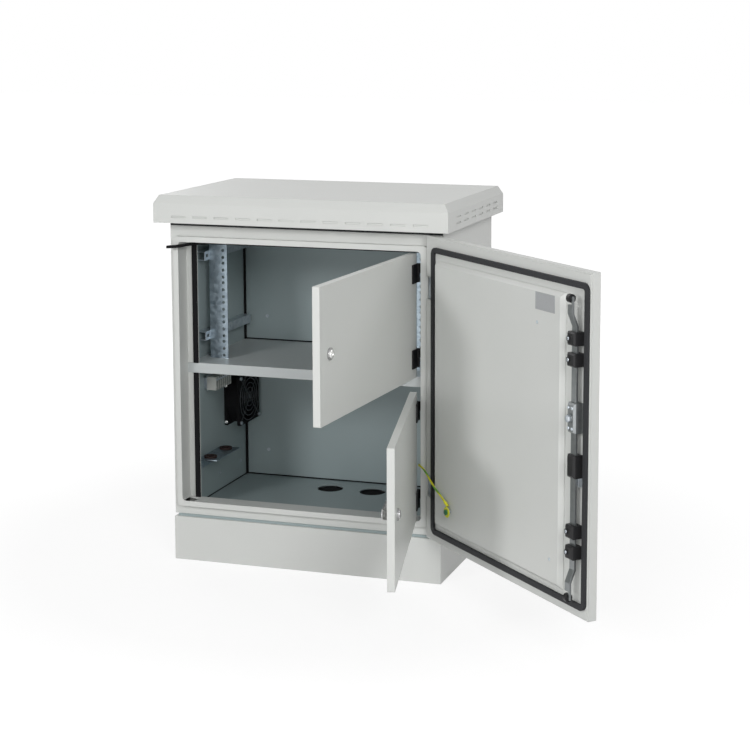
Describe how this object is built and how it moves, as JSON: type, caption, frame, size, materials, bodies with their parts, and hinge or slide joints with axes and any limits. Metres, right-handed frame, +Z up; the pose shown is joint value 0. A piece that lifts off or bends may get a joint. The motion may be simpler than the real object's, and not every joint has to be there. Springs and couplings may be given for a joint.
{
  "type": "roadside utility cabinet",
  "caption": "Free-standing steel roadside cabinet with plinth, rain hood, sealed outer door, rod lock, divider shelf, rack rails, fan and lockable inner doors.",
  "frame": {"origin": "centre of the plinth's underside", "axes": "+X to the hinge side seen from the front, +Y to the rear, +Z up"},
  "size_m": [1.0744, 0.8992, 0.82],
  "materials": {
    "painted_steel": "satin powder coat",
    "lining_steel": "satin powder coat",
    "zinc_steel": "zinc plated",
    "black_plastic": "moulded",
    "seal_rubber": "foamed",
    "terminal_plastic": "moulded",
    "bright_lock": "nickel plated",
    "earth_insulation": "smooth insulation"
  },
  "bodies": {
    "cabinet": {"plinth": "painted_steel", "base_collar": "painted_steel", "bottom_pan": "painted_steel", "left_side_panel": "painted_steel", "right_side_panel": "painted_steel", "rear_panel": "painted_steel", "top_deck": "painted_steel", "front_frame": "painted_steel", "roof_hood": "painted_steel", "floor_plate": "lining_steel", "lining_left_panel": "lining_steel", "lining_right_panel": "lining_steel", "lining_back_panel": "lining_steel", "ceiling_panel": "lining_steel", "divider_shelf": "lining_steel", "base_bolts": "zinc_steel", "roof_spacers": "zinc_steel", "rack_rail_left": "zinc_steel", "rack_rail_right": "zinc_steel", "left_rail_brackets": "zinc_steel", "right_rail_brackets": "zinc_steel", "rail_screws": "zinc_steel", "panel_rivets": "zinc_steel", "fan_guard": "zinc_steel", "fan_screws": "zinc_steel", "cable_bracket": "zinc_steel", "terminal_rail": "zinc_steel", "frame_hinge_halves": "zinc_steel", "frame_earth_stud": "zinc_steel", "fan_frame": "black_plastic", "upper_hinge_frame_halves": "black_plastic", "lower_hinge_frame_halves": "black_plastic", "inner_door_seal": "seal_rubber", "top_seal_strip": "seal_rubber", "cable_grommets": "seal_rubber", "terminal_blocks": "terminal_plastic", "earth_wire": "earth_insulation"},
    "outer_door": {"outer_door_pan": "painted_steel", "door_liner": "painted_steel", "door_gasket": "seal_rubber", "door_hinge_ears": "zinc_steel", "lock_gearbox": "zinc_steel", "rod_guides": "black_plastic", "lock_cover": "black_plastic", "cover_bracket": "zinc_steel", "escutcheon": "black_plastic", "door_earth_stud": "zinc_steel"},
    "handle": {"door_handle": "black_plastic"},
    "upper_rod": {"upper_lock_rod": "zinc_steel"},
    "lower_rod": {"lower_lock_rod": "zinc_steel"},
    "upper_rod_roller": {"upper_roller": "black_plastic"},
    "lower_rod_roller": {"lower_roller": "black_plastic"},
    "upper_door": {"upper_inner_door": "painted_steel", "upper_hinge_door_halves": "black_plastic"},
    "lower_door": {"lower_inner_door": "painted_steel", "lower_hinge_door_halves": "black_plastic"},
    "upper_cam": {"upper_inner_lock": "bright_lock"},
    "lower_cam": {"lower_inner_lock": "bright_lock"},
    "rotor": {"fan_rotor": "black_plastic"}
  },
  "joints": [
    {"name": "outer_door_hinge", "type": "hinge", "parent": "cabinet", "child": "outer_door", "pos_m": [0.296, -0.2095, 0.43], "axis": [0, 0, 1], "range_deg": [-136, 0], "deforming": ["earth_wire", "top_seal_strip"]},
    {"name": "upper_inner_door_hinge", "type": "hinge", "parent": "cabinet", "child": "upper_door", "pos_m": [0.254, -0.174, 0.5779], "axis": [0, 0, 1], "range_deg": [-87, 0]},
    {"name": "lower_inner_door_hinge", "type": "hinge", "parent": "cabinet", "child": "lower_door", "pos_m": [0.254, -0.174, 0.276], "axis": [0, 0, 1], "range_deg": [-103, 0]},
    {"name": "handle_turn", "type": "hinge", "parent": "outer_door", "child": "handle", "pos_m": [0.71754, -0.59641, 0.4836], "axis": [-0.6947, -0.7193, 0], "range_deg": [0, 90]},
    {"name": "upper_rod_slide", "type": "slide", "parent": "outer_door", "child": "upper_rod", "axis": [0, 0, 1], "range_m": [0, 0.013]},
    {"name": "lower_rod_slide", "type": "slide", "parent": "outer_door", "child": "lower_rod", "axis": [0, 0, -1], "range_m": [0, 0.013]},
    {"name": "upper_roller_spin", "type": "hinge", "parent": "upper_rod", "child": "upper_rod_roller", "pos_m": [0.68697, -0.62806, 0.704], "axis": [-0.7193, 0.6947, 0], "continuous": true},
    {"name": "lower_roller_spin", "type": "hinge", "parent": "lower_rod", "child": "lower_rod_roller", "pos_m": [0.68697, -0.62806, 0.147], "axis": [-0.7193, 0.6947, 0], "continuous": true},
    {"name": "upper_lock_turn", "type": "hinge", "parent": "upper_door", "child": "upper_cam", "pos_m": [0.22761, -0.63926, 0.5779], "axis": [-0.9986, 0.0523, 0], "range_deg": [0, 180]},
    {"name": "lower_lock_turn", "type": "hinge", "parent": "lower_door", "child": "lower_cam", "pos_m": [0.35688, -0.62851, 0.276], "axis": [-0.9744, -0.225, 0], "range_deg": [0, 180]},
    {"name": "fan_spin", "type": "hinge", "parent": "cabinet", "child": "rotor", "pos_m": [-0.27, 0.09, 0.316], "axis": [1, 0, 0], "continuous": true}
  ],
  "couplings": [
    {"joint": "upper_inner_door_hinge", "follows": "outer_door_hinge", "ratio": 0.6397},
    {"joint": "lower_inner_door_hinge", "follows": "outer_door_hinge", "ratio": 0.7573},
    {"joint": "upper_rod_slide", "follows": "handle_turn", "m_per_rad": 0.008274},
    {"joint": "lower_rod_slide", "follows": "handle_turn", "m_per_rad": 0.008274}
  ]
}
